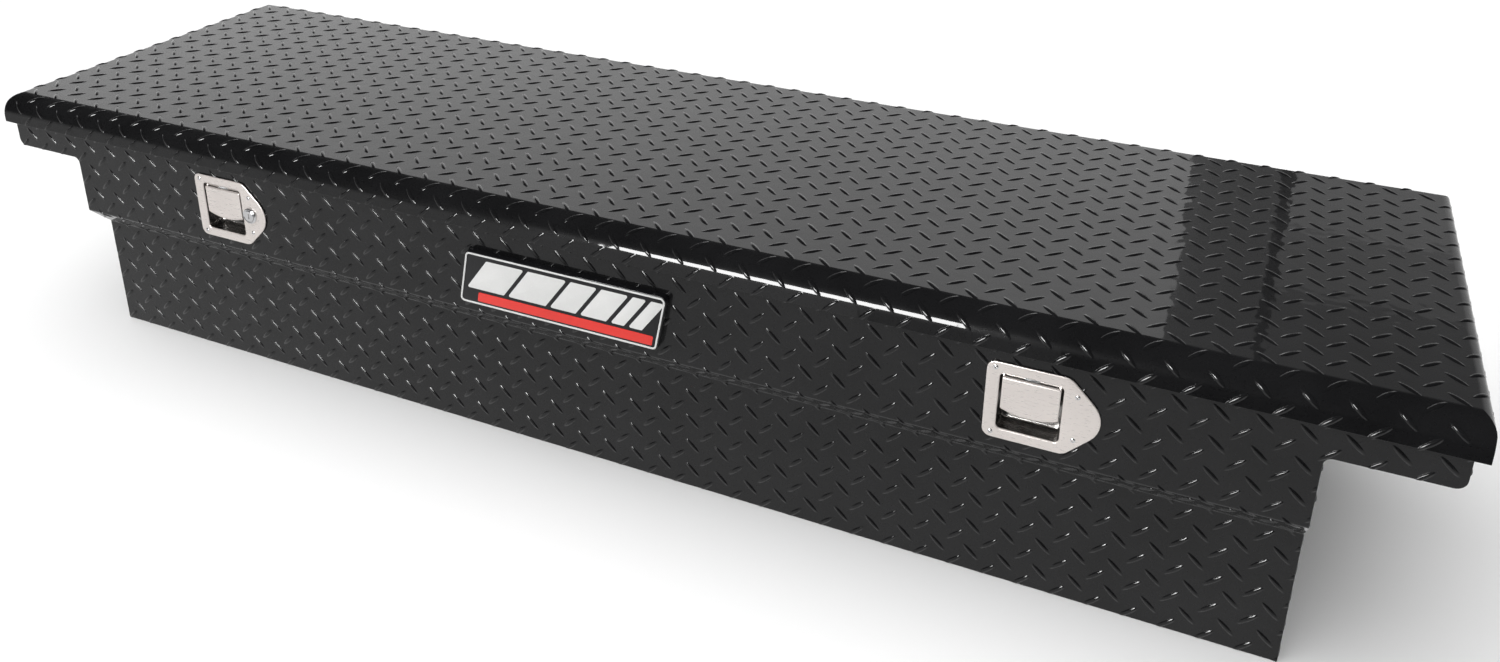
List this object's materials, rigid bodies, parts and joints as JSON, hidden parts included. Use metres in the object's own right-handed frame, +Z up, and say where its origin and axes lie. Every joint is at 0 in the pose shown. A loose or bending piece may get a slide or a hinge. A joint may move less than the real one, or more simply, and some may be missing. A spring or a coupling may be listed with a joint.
{
  "type": "truck tool box",
  "caption": "Low-profile crossover tool box for a pickup bed, in black tread plate, with a single hinged lid, side wings, stainless paddle latches and gas struts.",
  "frame": {"origin": "under the middle of the box's base, in the middle of its overall depth", "axes": "+X along the box's length to the right seen from the front, -Y to the front with the latches, +Z up"},
  "size_m": [1.772, 0.493, 0.33],
  "materials": {
    "powder_coat": "gloss",
    "seal_rubber": "matte",
    "hinge_stainless": "satin",
    "foam": "matte",
    "badge_black": "gloss",
    "badge_bright": "satin",
    "lock_chrome": "polished",
    "zinc_steel": "satin",
    "latch_stainless": "satin",
    "black_steel": "satin",
    "rod_chrome": "polished"
  },
  "bodies": {
    "tub": {"front_panel": "powder_coat", "back_panel": "powder_coat", "end_panel_left": "powder_coat", "end_panel_right": "powder_coat", "floor_panel": "powder_coat", "rim_frame": "powder_coat", "weather_seal": "seal_rubber", "hinge_leaf_tub": "hinge_stainless", "hinge_pin": "hinge_stainless", "hinge_rivets": "hinge_stainless", "strut_bracket_tub_left": "black_steel", "strut_bracket_tub_right": "black_steel", "strut_stud_tub_left": "zinc_steel", "strut_stud_tub_right": "zinc_steel", "strut_clips_tub": "zinc_steel", "badge_base": "badge_black", "badge_face": "badge_bright", "lock_housing": "lock_chrome", "lock_clip": "zinc_steel", "latch_gasket_left": "seal_rubber", "latch_dish_left": "latch_stainless", "latch_rivets_left": "latch_stainless", "paddle_pin_left": "latch_stainless", "paddle_spring_left": "zinc_steel", "latch_frame_left": "zinc_steel", "hook_pin_left": "zinc_steel", "latch_gasket_right": "seal_rubber", "latch_dish_right": "latch_stainless", "latch_rivets_right": "latch_stainless", "paddle_pin_right": "latch_stainless", "paddle_spring_right": "zinc_steel", "latch_frame_right": "zinc_steel", "hook_pin_right": "zinc_steel"},
    "lid": {"lid_skin": "powder_coat", "lid_pan": "powder_coat", "lid_foam": "foam", "hinge_leaf_lid": "hinge_stainless", "striker_screws": "zinc_steel", "strut_clips_lid": "zinc_steel", "striker_left": "zinc_steel", "strut_bracket_lid_left": "black_steel", "strut_stud_lid_left": "zinc_steel", "striker_right": "zinc_steel", "strut_bracket_lid_right": "black_steel", "strut_stud_lid_right": "zinc_steel"},
    "lock": {"lock_plug": "lock_chrome", "lock_cam": "zinc_steel"},
    "paddle_left": {"paddle_left": "latch_stainless"},
    "hook_left": {"latch_hook_left": "zinc_steel"},
    "strut_tube_left": {"strut_tube_left": "black_steel"},
    "strut_rod_left": {"strut_rod_left": "rod_chrome"},
    "paddle_right": {"paddle_right": "latch_stainless"},
    "hook_right": {"latch_hook_right": "zinc_steel"},
    "strut_tube_right": {"strut_tube_right": "black_steel"},
    "strut_rod_right": {"strut_rod_right": "rod_chrome"}
  },
  "joints": [
    {"name": "lid_open", "type": "hinge", "parent": "tub", "child": "lid", "pos_m": [0, 0.2405, 0.286], "axis": [-1, 0, 0], "range_deg": [0, 75]},
    {"name": "paddle_pull_left", "type": "hinge", "parent": "tub", "child": "paddle_left", "pos_m": [-0.509, -0.2329, 0.2655], "axis": [-1, 0, 0], "range_deg": [0, 38], "stiffness_Nm_per_rad": 0.2, "springref_deg": -28.65},
    {"name": "hook_throw_left", "type": "hinge", "parent": "tub", "child": "hook_left", "pos_m": [-0.509, -0.2, 0.252], "axis": [-1, 0, 0], "range_deg": [0, 28], "stiffness_Nm_per_rad": 0.05, "springref_deg": -28.65},
    {"name": "strut_swing_left", "type": "hinge", "parent": "tub", "child": "strut_tube_left", "pos_m": [-0.738, 0.20469, 0.06488], "axis": [-1, 0, 0], "range_deg": [0, 37.5]},
    {"name": "rod_swing_left", "type": "hinge", "parent": "lid", "child": "strut_rod_left", "pos_m": [-0.738, 0.01661, 0.29304], "axis": [-1, 0, 0], "range_deg": [-37.5, 0]},
    {"name": "paddle_pull_right", "type": "hinge", "parent": "tub", "child": "paddle_right", "pos_m": [0.509, -0.2329, 0.2655], "axis": [-1, 0, 0], "range_deg": [0, 38], "stiffness_Nm_per_rad": 0.2, "springref_deg": -28.65},
    {"name": "hook_throw_right", "type": "hinge", "parent": "tub", "child": "hook_right", "pos_m": [0.509, -0.2, 0.252], "axis": [-1, 0, 0], "range_deg": [0, 28], "stiffness_Nm_per_rad": 0.05, "springref_deg": -28.65},
    {"name": "strut_swing_right", "type": "hinge", "parent": "tub", "child": "strut_tube_right", "pos_m": [0.738, 0.20469, 0.06488], "axis": [-1, 0, 0], "range_deg": [0, 37.5]},
    {"name": "rod_swing_right", "type": "hinge", "parent": "lid", "child": "strut_rod_right", "pos_m": [0.738, 0.01661, 0.29304], "axis": [-1, 0, 0], "range_deg": [-37.5, 0]},
    {"name": "lock_turn", "type": "hinge", "parent": "tub", "child": "lock", "pos_m": [-0.4658, -0.24, 0.238], "axis": [0, 1, 0], "range_deg": [0, 90]}
  ],
  "couplings": [
    {"joint": "strut_swing_left", "follows": "lid_open", "ratio": 0.5},
    {"joint": "rod_swing_left", "follows": "lid_open", "ratio": -0.5},
    {"joint": "strut_swing_right", "follows": "lid_open", "ratio": 0.5},
    {"joint": "rod_swing_right", "follows": "lid_open", "ratio": -0.5}
  ]
}
